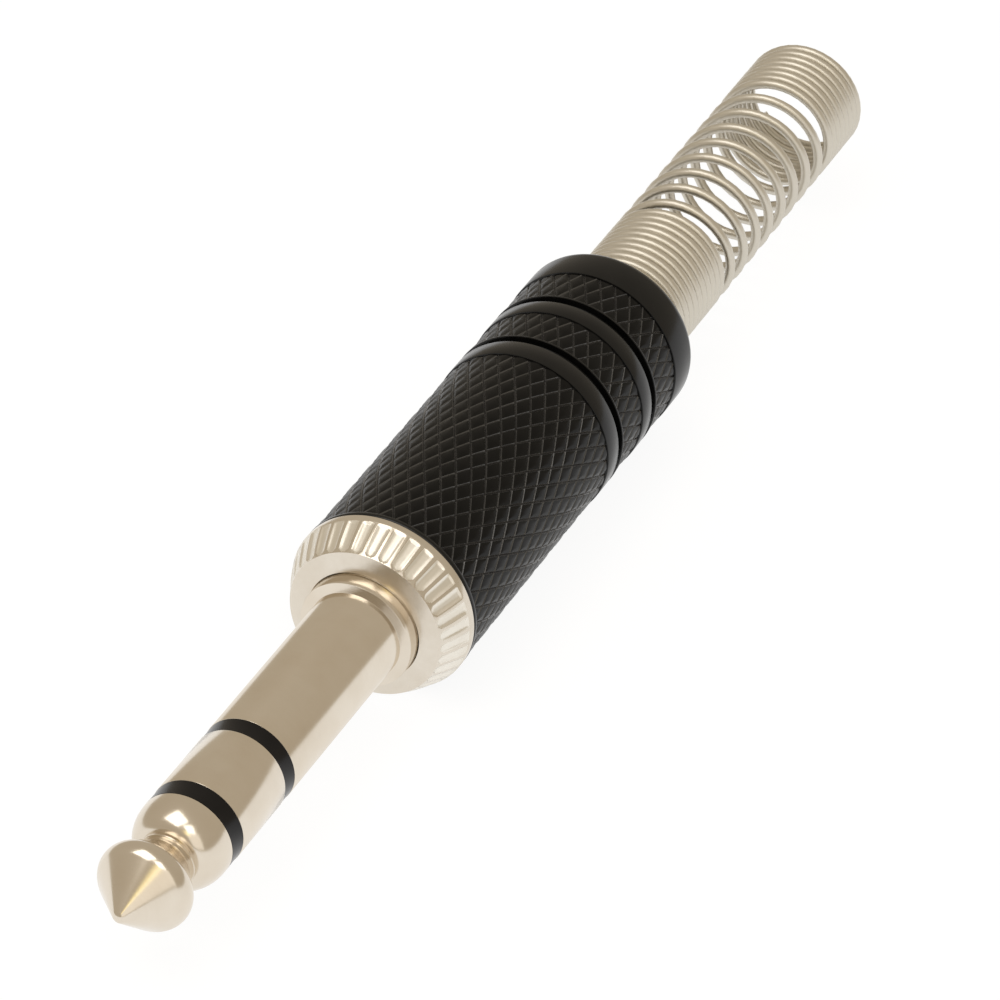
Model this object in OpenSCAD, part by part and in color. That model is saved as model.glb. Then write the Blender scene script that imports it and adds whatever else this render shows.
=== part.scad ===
// Three-contact jack plug with a fluted collar, a knurled screw-on barrel and a
// coil spring that relieves the cable. The axis is X: the tip points to -X, the
// cable leaves to +X, and x = 0 is the shoulder that stops the plug in its jack.

/* [Shaft] */
// Radius of the plug shaft
shaft_r = 3.175; // [3.1:0.005:3.25]
// Distance from the end of the tip to the shoulder
shaft_len = 31.0; // [30:0.1:33]
// Length of the tip contact, back to the front insulator
tip_len = 8.67; // [8.4:0.01:9.2]
// Thickness of the front insulating ring
front_gap = 1.34; // [1:0.01:1.6]
// Length of the ring contact's collar
ring_len = 5.46; // [5:0.01:6]
// Thickness of the rear insulating ring
rear_gap = 1.24; // [1:0.01:1.6]
// How far the insulating rings lie below the metal
ring_drop = 0.02; // [0:0.01:0.04]

/* [Tip] */
// Radius of the rounded point
nose_r = 0.6; // [0.3:0.05:0.9]
// Half angle of the conical nose in degrees
nose_angle = 43.6; // [40:0.1:47]
// How far the ball's widest part lies below the shaft
ball_drop = 0.045; // [0.02:0.005:0.1]
// Radius that rounds the ball's crest
crest_r = 1.15; // [0.9:0.05:1.3]
// Half angle of the cone behind the ball in degrees
back_angle = 36; // [33:1:42]
// Depth of the neck that the jack's spring drops into
neck_depth = 1.325; // [1.2:0.025:1.5]
// Fillet between the ball and the neck
neck_fillet = 0.7; // [0.5:0.05:0.8]
// Length of the domed bell behind the neck
bell_len = 2.2; // [1.3:0.05:2.3]
// Straight rim behind the bell
tip_rim = 0.3; // [0.2:0.05:0.4]

/* [Rod and tubes] */
// How deep the rod is set into the tip
rod_seat = 4.0; // [3:0.1:4.5]
// Wall of the insulating tube on the rod
rod_tube_wall = 0.33; // [0.25:0.01:0.4]
// Wall of the ring contact's tube
ring_tube_wall = 0.48; // [0.4:0.01:0.55]
// Wall of the insulating tube on the ring contact
ring_insulation_wall = 0.36; // [0.3:0.01:0.4]
// Radial gap between pieces that are pressed together
press_gap = 0.02; // [0.01:0.005:0.03]
// Height of a riveted tube or rod end
rivet_len = 0.5; // [0.4:0.05:0.7]
// How far a riveted end spreads over its lug
rivet_spread = 0.4; // [0.3:0.05:0.5]

/* [Collar] */
// How far the shoulder boss stands out from the shaft
boss_step = 0.725; // [0.4:0.025:1]
// Length of the shoulder boss
boss_len = 1.13; // [0.9:0.01:1.4]
// Rounding of the boss's front edge
boss_round = 0.3; // [0.1:0.05:0.35]
// Radial height of the fluted chamfer
chamfer_step = 1.05; // [0.8:0.05:1.3]
// Length of the fluted chamfer
chamfer_len = 2.32; // [1.8:0.01:2.6]
// How much the collar's face is dished
face_dish = 0.19; // [0.1:0.01:0.3]
// Width of the plain rim behind the flutes
collar_rim = 0.5; // [0.3:0.05:0.7]
// Number of flutes
flute_count = 36; // [30:1:38]
// Share of each flute's pitch that its scallop takes up
flute_share = 0.76; // [0.5:0.05:0.85]
// Depth of a flute along the chamfer
flute_depth = 0.13; // [0.1:0.01:0.18]
// Length over which a flute runs out past the chamfer
flute_runout = 0.27; // [0.2:0.01:0.4]
// Length of the threaded spigot
spigot_len = 6.86; // [5.8:0.01:7.8]
// How far the sleeve's tail inside the collar lies below the shaft
tail_step = 0.175; // [0.1:0.025:0.3]
// Wall of the sleeve's tail
tail_wall = 0.75; // [0.6:0.01:0.78]

/* [Solder lugs] */
// Thickness of the lug sheet
lug_t = 0.5; // [0.4:0.05:0.6]
// Thickness of an insulating washer
washer_t = 0.8; // [0.6:0.05:1]
// Gap between a washer's rim and the metal that passes it
washer_gap = 0.06; // [0.04:0.01:0.15]
// Radial distance from the sleeve's tail to the outside of the ground clamp
clamp_step = 1.2; // [1:0.05:1.4]
// Length of the crimp ears
ear_len = 5.5; // [4:0.1:6]
// Angle that the crimp ears cover in degrees
ear_angle = 210; // [180:5:230]
// Angle that the clamp's strip covers in degrees
strip_angle = 56; // [45:1:70]
// Width of a solder lug's tongue
tongue_w = 2.6; // [2:0.1:3]
// Length of a solder lug's tongue
tongue_len = 8.2; // [7:0.1:9]
// Gap between the ring lug's rim and the ground clamp
ring_lug_gap = 0.1; // [0.05:0.05:0.2]
// Gap between the tip lug's rim and the ring lug's tongue
tip_lug_gap = 0.2; // [0.1:0.05:0.3]
// Radius of the solder holes
solder_hole_r = 0.7; // [0.5:0.05:0.9]

/* [Barrel] */
// Wall of the barrel round its bore
barrel_wall = 1.15; // [1:0.05:1.4]
// Length of the plain lip at the front
front_lip = 0.4; // [0.4:0.02:0.8]
// Length of the first knurled stretch
knurl_1_len = 19.86; // [18:0.01:21]
// Length of the plain band behind it
band_1_len = 1.6; // [1:0.1:2]
// Width of the grooves
groove_w = 0.8; // [0.6:0.05:1]
// Length of the second knurled stretch
knurl_2_len = 3.1; // [2:0.1:4]
// Length of the plain band behind it
band_2_len = 1.4; // [1:0.1:2]
// Length of the third knurled stretch
knurl_3_len = 3.1; // [2:0.1:4]
// Length of the plain band at the rear end
end_band_len = 3.1; // [2:0.1:4]
// Depth of the grooves
groove_depth = 0.5; // [0.3:0.05:0.6]
// Rounding of the rear edge
end_round = 0.8; // [0.5:0.05:1]
// Clearance between the spigot and the barrel's bore
thread_gap = 0.05; // [0.03:0.01:0.08]
// Thickness of the lip that holds the spring
spring_lip = 1.6; // [1.2:0.1:2]
// Radial height of the step where the spring's pocket begins
pocket_step = 0.25; // [0.15:0.05:0.4]
// Distance from the clamp's rear end to that step
pocket_behind = 0.7; // [0.5:0.1:0.8]
// Radial gap round the spring's wide turns
pocket_gap = 0.12; // [0.08:0.01:0.15]
// Radial gap round the spring where it leaves the barrel
exit_gap = 0.18; // [0.1:0.01:0.2]
// Width of the bevel round that hole
exit_bevel = 0.2; // [0.1:0.05:0.3]

/* [Knurl] */
// Number of diamonds round the barrel
knurl_count = 34; // [28:1:36]
// Length of a diamond along the barrel
knurl_pitch = 2.22; // [1.9:0.02:2.8]
// Height of the diamonds
knurl_depth = 0.3; // [0.2:0.01:0.35]
// How far the diamonds lie below the plain bands
knurl_drop = 0.04; // [0.02:0.01:0.1]

/* [Liner] */
// Wall of the insulating liner
liner_wall = 0.6; // [0.5:0.05:0.65]
// Gap round the liner
liner_gap = 0.1; // [0.05:0.01:0.15]
// Gap between the ground clamp and the liner
clamp_gap = 0.35; // [0.2:0.05:0.5]

/* [Spring] */
// Diameter of the spring wire
wire_d = 0.7; // [0.6:0.01:0.8]
// Gap between the closed turns
closed_gap = 0.045; // [0.04:0.005:0.1]
// Gap between the open turns
open_gap = 1.52; // [1.1:0.02:1.9]
// Number of wide turns held inside the barrel
wide_turns = 2.5; // [2:0.5:3]
// How much wider those turns are
wide_extra = 0.42; // [0.35:0.01:0.45]
// Number of closed turns behind them
front_turns = 16; // [14:0.5:18]
// Number of open turns
open_turns = 9; // [6:0.5:10]
// Number of closed turns at the cable end
rear_turns = 7.4; // [5:0.1:10]
// Play between the step in the barrel and the first turn
spring_play = 0.35; // [0.1:0.05:0.4]
// Play between the last wide turn and the lip that holds it
lip_play = 0.215; // [0.1:0.005:0.4]

/* [Hidden] */
$fn = 64;
arc_steps = 10;

// How far bodies joined in one node overlap, and how far cutters reach past a surface
lap = 0.05;
past = 1;

// Stations along the shaft, counted from the shoulder
tip_x = -shaft_len;
front_gap_x = tip_x + tip_len;
ring_x = front_gap_x + front_gap;
rear_gap_x = ring_x + ring_len;
sleeve_x = rear_gap_x + rear_gap;

// Stations of the collar and of the riveted stack behind its spigot
collar_back = boss_len + face_dish + chamfer_len + collar_rim;
spigot_end = collar_back + spigot_len;
ground_x = spigot_end;
tail_rivet_x = ground_x + lug_t;
washer_x = tail_rivet_x + rivet_len;
ring_lug_x = washer_x + washer_t;
ring_rivet_x = ring_lug_x + lug_t;
lug_washer_x = ring_rivet_x + rivet_len;
tip_lug_x = lug_washer_x + washer_t;
rod_rivet_x = tip_lug_x + lug_t;
rod_end = rod_rivet_x + rivet_len;

// Radii of the nested tubes, from the sleeve inwards
insulator_r = shaft_r - ring_drop;
tail_r = shaft_r - tail_step;
sleeve_in = tail_r - tail_wall;
ring_tube_out = sleeve_in - press_gap;
ring_tube_in = ring_tube_out - ring_insulation_wall;
ring_out = ring_tube_in - press_gap;
ring_in = ring_out - ring_tube_wall;
rod_tube_out = ring_in - press_gap;
rod_tube_in = rod_tube_out - rod_tube_wall;
rod_r = rod_tube_in - press_gap;

// Radii of the clamp, the liner, the collar and the barrel, from the tail outwards
boss_r = shaft_r + boss_step;
clamp_r = tail_r + clamp_step;
ring_lug_y = clamp_r - lug_t - ring_lug_gap;
tip_lug_y = ring_lug_y - lug_t - tip_lug_gap;
liner_in = clamp_r + clamp_gap;
liner_out = liner_in + liner_wall;
bore_r = liner_out + liner_gap;
spigot_r = bore_r - thread_gap;
grip_r = bore_r + barrel_wall;
face_r = grip_r - chamfer_step;
groove_r = grip_r - groove_depth;
knurl_top = grip_r - knurl_drop;
knurl_floor = knurl_top - knurl_depth;
pocket_r = bore_r - pocket_step;
spring_r = pocket_r - pocket_gap - wide_extra;
exit_r = spring_r + exit_gap;

// Stations along the barrel
lip_x = collar_back + front_lip;
knurl_1_end = lip_x + knurl_1_len;
groove_1 = knurl_1_end + band_1_len;
groove_1_end = groove_1 + groove_w;
knurl_2_end = groove_1_end + knurl_2_len;
groove_2 = knurl_2_end + band_2_len;
groove_2_end = groove_2 + groove_w;
knurl_3_end = groove_2_end + knurl_3_len;
barrel_end = knurl_3_end + end_band_len;

// Spring: pitches, how many turns its widening and a change of pitch take, and the
// pocket that holds its wide turns
closed_pitch = wire_d + closed_gap;
open_pitch = wire_d + open_gap;
widening = 0.5;
pitch_ramp = 0.5;
pocket_len = spring_play + (wide_turns + widening) * closed_pitch + wire_d + lip_play;
pocket_x = barrel_end - spring_lip - pocket_len;
clamp_end = pocket_x - pocket_behind;
liner_x = spigot_end + liner_gap;

// Collar flutes: points of one scallop, as [place in the pitch, share of the depth],
// and how far the chamfer's end lies below the rim
scallop = [[0, 0], [flute_share * 0.25, 0.75], [flute_share * 0.5, 1],
    [flute_share * 0.75, 0.75], [flute_share, 0]];
flute_drop = 0.02;

// Spring: sides of the wire, steps in a turn, where it starts in its pocket, and the
// turns at which its pitch changes
wire_sides = 6;
turn_steps = 16;
coil_r = spring_r - wire_d / 2;
spring_x = pocket_x + spring_play;
closed_front = wide_turns + front_turns;
open_end = closed_front + open_turns;
all_turns = open_end + rear_turns;

module turned(outline) rotate([0, 90, 0]) rotate_extrude() polygon(outline);

module tube(x0, x1, r_in, r_out)
    turned([[r_in, x0], [r_out, x0], [r_out, x1], [r_in, x1]]);

module rod(x0, x1, r) translate([x0, 0, 0]) rotate([0, 90, 0]) cylinder(h = x1 - x0, r = r);

// Points of an arc in the half plane of an outline, as [radius, x]
function arc(mid, r, from, to) = [for (i = [0:arc_steps])
    let (a = from + (to - from) * i / arc_steps) [mid[0] + r * sin(a), mid[1] + r * cos(a)]];

// Number of the point in a given ring of a closed grid
function nth(ring, place, width) = ring * width + place % width;

// A solid between rings of points, all turning the same way; with woven diagonals
// each quad is split along its even corners
module closed_grid(points, rows, columns, woven) {
    sides = [for (i = [0:rows - 1]) for (k = [0:columns - 1])
        let (a = nth(i, k, columns), b = nth(i, k + 1, columns),
            c = nth(i + 1, k + 1, columns), d = nth(i + 1, k, columns),
            cross = woven && (i + k) % 2 == 1)
        for (face = cross ? [[a, b, d], [b, c, d]] : [[a, b, c], [a, c, d]]) face];
    front = [for (k = [0:columns - 1]) columns - 1 - k];
    back = [for (k = [0:columns - 1]) nth(rows, k, columns)];
    polyhedron(points, concat(sides, [front], [back]));
}

// A riveted end: a short cone that spreads over the piece in front of it
module riveted_tube(x, r_in, r_out) turned([[r_in, x - lap], [r_out, x - lap], [r_out, x],
    [r_out + rivet_spread, x], [r_out + rivet_spread * 0.6, x + rivet_len],
    [r_in, x + rivet_len]]);

module tip_head() {
    ball_r = shaft_r - ball_drop;
    neck_r = shaft_r - neck_depth;
    crest_mid = ball_r - crest_r;
    cone_start = nose_r * (1 - sin(nose_angle));
    cone_end_r = crest_mid + crest_r * cos(nose_angle);
    cone_end = cone_start + (cone_end_r - nose_r * cos(nose_angle)) / tan(nose_angle);
    crest_x = cone_end + crest_r * sin(nose_angle);
    back_start = crest_x + crest_r * sin(back_angle);
    back_start_r = crest_mid + crest_r * cos(back_angle);
    fillet_mid = neck_r + neck_fillet;
    back_end_r = fillet_mid - neck_fillet * cos(back_angle);
    fillet_x = back_start + (back_start_r - back_end_r) / tan(back_angle)
        + neck_fillet * sin(back_angle);
    bell_x = tip_len - tip_rim;
    bell = [for (p = arc([0, 0], 1, 180, 90))
        [neck_r + (insulator_r - neck_r) * p[0], bell_x + bell_len * p[1]]];
    color([0.80, 0.77, 0.70]) difference() {
        translate([tip_x, 0, 0]) turned(concat(
            arc([0, nose_r], nose_r, 180, 90 + nose_angle),
            arc([crest_mid, crest_x], crest_r, 90 + nose_angle, 90 - back_angle),
            arc([fillet_mid, fillet_x], neck_fillet, 270 - back_angle, 270),
            bell,
            [[insulator_r, tip_len], [0, tip_len]]));
        rod(front_gap_x - rod_seat, front_gap_x + past, rod_r + press_gap);
    }
}

module centre_rod() color([0.78, 0.66, 0.40]) {
    rod(front_gap_x - rod_seat, rod_rivet_x, rod_r);
    turned([[0, rod_rivet_x - lap], [rod_r, rod_rivet_x - lap], [rod_r, rod_rivet_x],
        [rod_r + rivet_spread, rod_rivet_x], [rod_r + rivet_spread * 0.5, rod_end],
        [0, rod_end]]);
}

module front_insulator() color([0.08, 0.08, 0.09])
    tube(front_gap_x, ring_x, rod_tube_in, insulator_r);

module rod_tube() color([0.85, 0.83, 0.75])
    tube(ring_x, tip_lug_x, rod_tube_in, rod_tube_out);

module ring_contact() color([0.80, 0.77, 0.70]) {
    tube(ring_x, rear_gap_x, ring_in, shaft_r);
    tube(rear_gap_x - lap, ring_rivet_x, ring_in, ring_out);
    riveted_tube(ring_rivet_x, ring_in, ring_out);
}

module rear_insulator() color([0.08, 0.08, 0.09])
    tube(rear_gap_x, sleeve_x, ring_tube_in, insulator_r);

module ring_tube() color([0.85, 0.83, 0.75])
    tube(sleeve_x, ring_lug_x, ring_tube_in, ring_tube_out);

module sleeve() color([0.80, 0.77, 0.70]) {
    turned(concat([[sleeve_in, sleeve_x], [shaft_r, sleeve_x], [shaft_r, 0]],
        arc([boss_r - boss_round, boss_round], boss_round, 180, 90),
        [[boss_r, boss_len], [tail_r, boss_len], [tail_r, tail_rivet_x],
            [sleeve_in, tail_rivet_x]]));
    riveted_tube(tail_rivet_x, sleeve_in, tail_r);
}

// The collar's domed face and fluted chamfer: rounded scallops with a narrow land
// between each two, as rings of [x, radius, flute depth]
module fluted_face(face_x, rim_x) {
    chamfer_r = grip_r - flute_drop;
    rings = [[boss_len, boss_r, 0], [face_x, face_r, flute_depth],
        [rim_x - flute_runout, chamfer_r, flute_depth], [rim_x, chamfer_r, 0],
        [rim_x + lap, chamfer_r, 0]];
    columns = len(scallop) * flute_count;
    points = [for (ring = rings) for (k = [0:columns - 1])
        let (cut = scallop[k % len(scallop)], r = ring[1] - ring[2] * cut[1],
            a = 360 * (floor(k / len(scallop)) + cut[0]) / flute_count)
        [ring[0], r * sin(a), r * cos(a)]];
    closed_grid(points, len(rings) - 1, columns, false);
}

module collar() color([0.82, 0.79, 0.72]) difference() {
    relief = 0.5;
    face_x = boss_len + face_dish;
    rim_x = face_x + chamfer_len;
    union() {
        turned([[0, face_x + lap], [boss_r, face_x + lap], [boss_r, rim_x],
            [grip_r, rim_x], [grip_r, collar_back], [spigot_r - relief, collar_back],
            [spigot_r - relief, collar_back + relief * 1.5],
            [spigot_r, collar_back + relief * 2], [spigot_r, spigot_end - relief],
            [spigot_r - relief, spigot_end], [0, spigot_end]]);
        fluted_face(face_x, rim_x);
    }
    rod(0, spigot_end + past, tail_r + press_gap);
}

// Everything above the strip or the ears, as a wedge that opens upwards
module above(x0, x1, angle) rotate([0, 90, 0]) rotate([0, 0, angle / 2])
    translate([0, 0, x0]) rotate_extrude(angle = 360 - angle)
    square([clamp_r + past, x1 - x0]);

module ground_clamp() color([0.80, 0.77, 0.70]) {
    strip_end = clamp_end - ear_len;
    tube(ground_x, tail_rivet_x, tail_r + press_gap, clamp_r - lug_t / 2);
    difference() {
        tube(ground_x, clamp_end, clamp_r - lug_t, clamp_r);
        above(ground_x - past, strip_end, strip_angle);
        above(strip_end - lap, clamp_end + past, ear_angle);
        translate([(tail_rivet_x + strip_end) / 2, 0, -clamp_r - past])
            cylinder(h = 2 * past, r = solder_hole_r);
    }
}

module ground_washer() color([0.45, 0.28, 0.14])
    tube(washer_x, ring_lug_x, ring_tube_out + press_gap, clamp_r - lug_t - washer_gap);

module lug_washer() color([0.45, 0.28, 0.14])
    tube(lug_washer_x, tip_lug_x, rod_tube_out + press_gap, ring_lug_y - lug_t - washer_gap);

// A disc on the tube with a tongue bent back along the plug on its +Y side
module solder_lug(x, r_in, y) difference() {
    union() {
        rod(x, x + lug_t, y);
        translate([x, y - lug_t, -tongue_w / 2]) cube([tongue_len - tongue_w / 2, lug_t, tongue_w]);
        translate([x + tongue_len - tongue_w / 2, y, 0]) rotate([90, 0, 0])
            cylinder(h = lug_t, r = tongue_w / 2);
    }
    rod(x - past, x + lug_t + past, r_in);
    translate([x + tongue_len - tongue_w / 2, y + past, 0]) rotate([90, 0, 0])
        cylinder(h = lug_t + 2 * past, r = solder_hole_r);
}

module ring_lug() color([0.80, 0.77, 0.70])
    solder_lug(ring_lug_x, ring_out + press_gap, ring_lug_y);

module tip_lug() color([0.80, 0.77, 0.70]) rotate([180, 0, 0])
    solder_lug(tip_lug_x, rod_r + press_gap, tip_lug_y);

module liner_tube() color([0.88, 0.88, 0.84])
    tube(liner_x, pocket_x - liner_gap, liner_in, liner_out);

// A knurled stretch: a grid of points that are high and low in turn, so that the
// valleys cross along its diagonals and leave one pyramid in each diamond; its first
// ring is low all round
module knurl(x0, x1) {
    columns = 2 * knurl_count;
    rows = round((x1 - x0) / (knurl_pitch / 2));
    points = [for (i = [0:rows]) for (k = [0:columns - 1])
        let (r = i == 0 || (i + k) % 2 == 0 ? knurl_floor : knurl_top,
            a = 180 * k / knurl_count)
        [x0 + (x1 - x0) * i / rows, r * sin(a), r * cos(a)]];
    closed_grid(points, rows, columns, true);
}

module barrel() color([0.10, 0.10, 0.11]) difference() {
    edge = 0.15;
    union() {
        turned(concat([[0, collar_back], [grip_r - edge, collar_back],
            [grip_r, collar_back + edge], [grip_r, lip_x], [groove_r, lip_x],
            [groove_r, knurl_1_end], [grip_r, knurl_1_end], [grip_r, groove_1],
            [groove_r, groove_1], [groove_r, knurl_2_end], [grip_r, knurl_2_end],
            [grip_r, groove_2], [groove_r, groove_2], [groove_r, knurl_3_end],
            [grip_r, knurl_3_end]],
            arc([grip_r - end_round, barrel_end - end_round], end_round, 90, 0),
            [[0, barrel_end]]));
        knurl(lip_x - lap, knurl_1_end + lap);
        knurl(groove_1_end, knurl_2_end + lap);
        knurl(groove_2_end, knurl_3_end + lap);
    }
    turned([[0, collar_back - past], [bore_r, collar_back - past], [bore_r, pocket_x],
        [pocket_r, pocket_x], [pocket_r, barrel_end - spring_lip],
        [exit_r, barrel_end - spring_lip], [exit_r, barrel_end - exit_bevel],
        [exit_r + exit_bevel, barrel_end], [exit_r + exit_bevel, barrel_end + past],
        [0, barrel_end + past]]);
}

// Pitch of the spring at a given turn: closed, open between its two ramps, closed
function blend(t) = let (u = min(max(t, 0), 1)) u * u * (3 - 2 * u);
function pitch_at(t) = closed_pitch + (open_pitch - closed_pitch)
    * blend((t - closed_front) / pitch_ramp) * blend((open_end - t) / pitch_ramp);
function coil_r_at(t) = coil_r + wide_extra * blend(wide_turns + widening - t);

module spring() color([0.82, 0.79, 0.73]) {
    steps = round(all_turns * turn_steps);
    xs = [for (i = 0, x = spring_x + wire_d / 2; i <= steps;
        x = x + pitch_at((i + 0.5) / turn_steps) / turn_steps, i = i + 1) x];
    rings = [for (i = [0:steps])
        let (a = 360 * i / turn_steps, r = coil_r_at(i / turn_steps),
            lead = atan(pitch_at(i / turn_steps) / (2 * PI * r)))
        for (s = [0:wire_sides - 1])
        let (b = 360 * s / wire_sides, out = wire_d / 2 * cos(b), side = wire_d / 2 * sin(b))
        [xs[i] + side * cos(lead), (r + out) * cos(a) + side * sin(lead) * sin(a),
            (r + out) * sin(a) - side * sin(lead) * cos(a)]];
    closed_grid(rings, steps, wire_sides, false);
}

tip_head();
centre_rod();
front_insulator();
rod_tube();
ring_contact();
rear_insulator();
ring_tube();
sleeve();
collar();
ground_clamp();
ground_washer();
ring_lug();
lug_washer();
tip_lug();
liner_tube();
barrel();
spring();
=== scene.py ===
"""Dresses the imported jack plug: turned contacts, a fluted collar, a knurled barrel and
the coil spring that relieves the cable, on a pale floor in soft studio light."""
import logging
import math
from collections.abc import Callable, Iterator, Sequence
from contextlib import contextmanager
from dataclasses import dataclass
from enum import Enum

import bmesh
import bpy
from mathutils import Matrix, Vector


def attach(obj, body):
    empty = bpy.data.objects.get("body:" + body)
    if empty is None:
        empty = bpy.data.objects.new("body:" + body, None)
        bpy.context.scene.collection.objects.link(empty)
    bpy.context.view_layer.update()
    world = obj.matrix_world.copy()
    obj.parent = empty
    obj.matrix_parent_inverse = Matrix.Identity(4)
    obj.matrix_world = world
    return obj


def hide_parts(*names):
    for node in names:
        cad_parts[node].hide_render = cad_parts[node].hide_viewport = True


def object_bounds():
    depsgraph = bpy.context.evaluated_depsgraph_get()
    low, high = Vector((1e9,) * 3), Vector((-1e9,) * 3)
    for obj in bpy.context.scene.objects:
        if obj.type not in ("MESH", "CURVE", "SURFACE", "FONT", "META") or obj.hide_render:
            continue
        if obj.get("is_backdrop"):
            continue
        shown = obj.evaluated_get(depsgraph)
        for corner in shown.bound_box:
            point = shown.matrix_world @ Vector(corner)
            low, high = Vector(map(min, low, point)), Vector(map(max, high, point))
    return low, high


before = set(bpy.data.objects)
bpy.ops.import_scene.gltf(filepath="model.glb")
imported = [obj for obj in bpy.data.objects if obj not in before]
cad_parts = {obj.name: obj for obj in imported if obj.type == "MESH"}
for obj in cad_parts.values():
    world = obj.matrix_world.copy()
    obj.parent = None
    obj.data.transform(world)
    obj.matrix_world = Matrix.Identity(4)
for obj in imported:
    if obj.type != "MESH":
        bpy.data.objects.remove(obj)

LOG = logging.getLogger("plug")

# Millimetres and degrees, but the depth of the marks is in metres
MM = 0.001
FACETS = 160
ARC_STEPS = 10
FINE_STEPS = 24
SHARP_ANGLE = 32.0
BEVEL_FACETS = 2
MERGE_GAP = 0.0005
MARK_DEPTH = 0.00001
NOISE_DETAIL = 3.0
NOISE_MIDDLE = 0.5
FIRST_FINISH, SECOND_FINISH = 0, 1

Colour = tuple[float, float, float]
Point = tuple[float, float]
Outline = list[Point]


class Body(Enum):
    """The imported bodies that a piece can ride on."""

    PLUG = "plug"
    BARREL = "barrel"
    SPRING = "spring"


class Grain(Enum):
    """How the fine marks of a finish run over a piece, as scales along X, Y and Z."""

    TURNED = (9000.0, 60.0, 60.0)
    EVEN = (2500.0, 2500.0, 2500.0)
    BRUSHED = (300.0, 5000.0, 5000.0)


# Shader maths


class Field:
    """A number that varies over a surface: one socket, with arithmetic on it."""

    def __init__(self, recipe: "Recipe", socket: bpy.types.NodeSocket) -> None:
        """Wraps a socket of the recipe's node tree."""
        self.recipe, self.socket = recipe, socket

    def _math(self, operation: str, first: object, second: object) -> "Field":
        """Adds a Math node.

        Args:
            operation: the node's operation.
            first: its first value or field.
            second: its second value or field.

        Returns:
            The node's result.
        """
        made = self.recipe.node("ShaderNodeMath", {"operation": operation}, {0: first, 1: second})
        return Field(self.recipe, made.outputs[0])

    def __add__(self, other: object) -> "Field":
        """This field plus another or a number."""
        return self._math("ADD", self, other)

    __radd__ = __add__

    def __mul__(self, other: object) -> "Field":
        """This field times another or a number."""
        return self._math("MULTIPLY", self, other)

    __rmul__ = __mul__

    def __sub__(self, other: object) -> "Field":
        """This field less another or a number."""
        return self._math("SUBTRACT", self, other)

    def __rsub__(self, other: object) -> "Field":
        """A number less this field."""
        return self._math("SUBTRACT", other, self)

    def clamp(self, low: float, high: float) -> "Field":
        """The field kept between two numbers."""
        return self._math("MINIMUM", self._math("MAXIMUM", self, low), high)


class Recipe:
    """The node tree of one material or of the world."""

    def __init__(self, tree: bpy.types.NodeTree, output: str) -> None:
        """Empties a tree and gives it its output node.

        Args:
            tree: the node tree to fill.
            output: the type of its output node.
        """
        self.tree = tree
        tree.nodes.clear()
        self.output = tree.nodes.new(output)

    def node(self, kind: str, settings: dict[str, object],
             inputs: dict[str | int, object]) -> bpy.types.Node:
        """Adds any node.

        Args:
            kind: the node's type.
            settings: its own settings, which are set first.
            inputs: values, sockets or fields for its sockets, by name or number.

        Returns:
            The node.
        """
        made = self.tree.nodes.new(kind)
        for name, value in settings.items():
            setattr(made, name, value)
        for name, value in inputs.items():
            socket = made.inputs[name]
            if isinstance(value, Field):
                value = value.socket
            if isinstance(value, bpy.types.NodeSocket):
                self.tree.links.new(value, socket)
            elif isinstance(value, tuple) and len(value) == 3 and socket.type == "RGBA":
                socket.default_value = (*value, 1.0)
            else:
                socket.default_value = value
        return made

    def place(self, scale: Sequence[float]) -> bpy.types.NodeSocket:
        """Object coordinates stretched along the plug's axes.

        Args:
            scale: the three factors.

        Returns:
            The stretched coordinates.
        """
        coord = self.node("ShaderNodeTexCoord", {}, {})
        mapping = self.node("ShaderNodeMapping", {},
                            {"Vector": coord.outputs["Object"], "Scale": tuple(scale)})
        return mapping.outputs[0]

    def noise(self, scale: Sequence[float]) -> Field:
        """Smooth noise from 0 to 1 over stretched object coordinates.

        Args:
            scale: how many patches fit in a metre along each axis.

        Returns:
            The noise.
        """
        made = self.node("ShaderNodeTexNoise", {"noise_dimensions": "3D"},
                         {"Vector": self.place(scale), "Scale": 1.0, "Detail": NOISE_DETAIL})
        return Field(self, made.outputs[0])

    def blend(self, share: Field, first: Colour, second: Colour) -> bpy.types.NodeSocket:
        """A colour that runs from one to another.

        Args:
            share: how much of the second colour shows.
            first: the colour at share 0.
            second: the colour at share 1.

        Returns:
            The colour.
        """
        made = self.node("ShaderNodeMix", {"data_type": "RGBA"},
                         {"Factor": share, 6: first, 7: second})
        return made.outputs[2]

    def relief(self, height: Field, strength: float, depth: float) -> bpy.types.NodeSocket:
        """The normal of a fine relief.

        Args:
            height: the relief's height from 0 to 1.
            strength: the bump's strength.
            depth: the height of 1, in metres.

        Returns:
            The normal.
        """
        made = self.node("ShaderNodeBump", {},
                         {"Height": height, "Strength": strength, "Distance": depth})
        return made.outputs[0]


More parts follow.
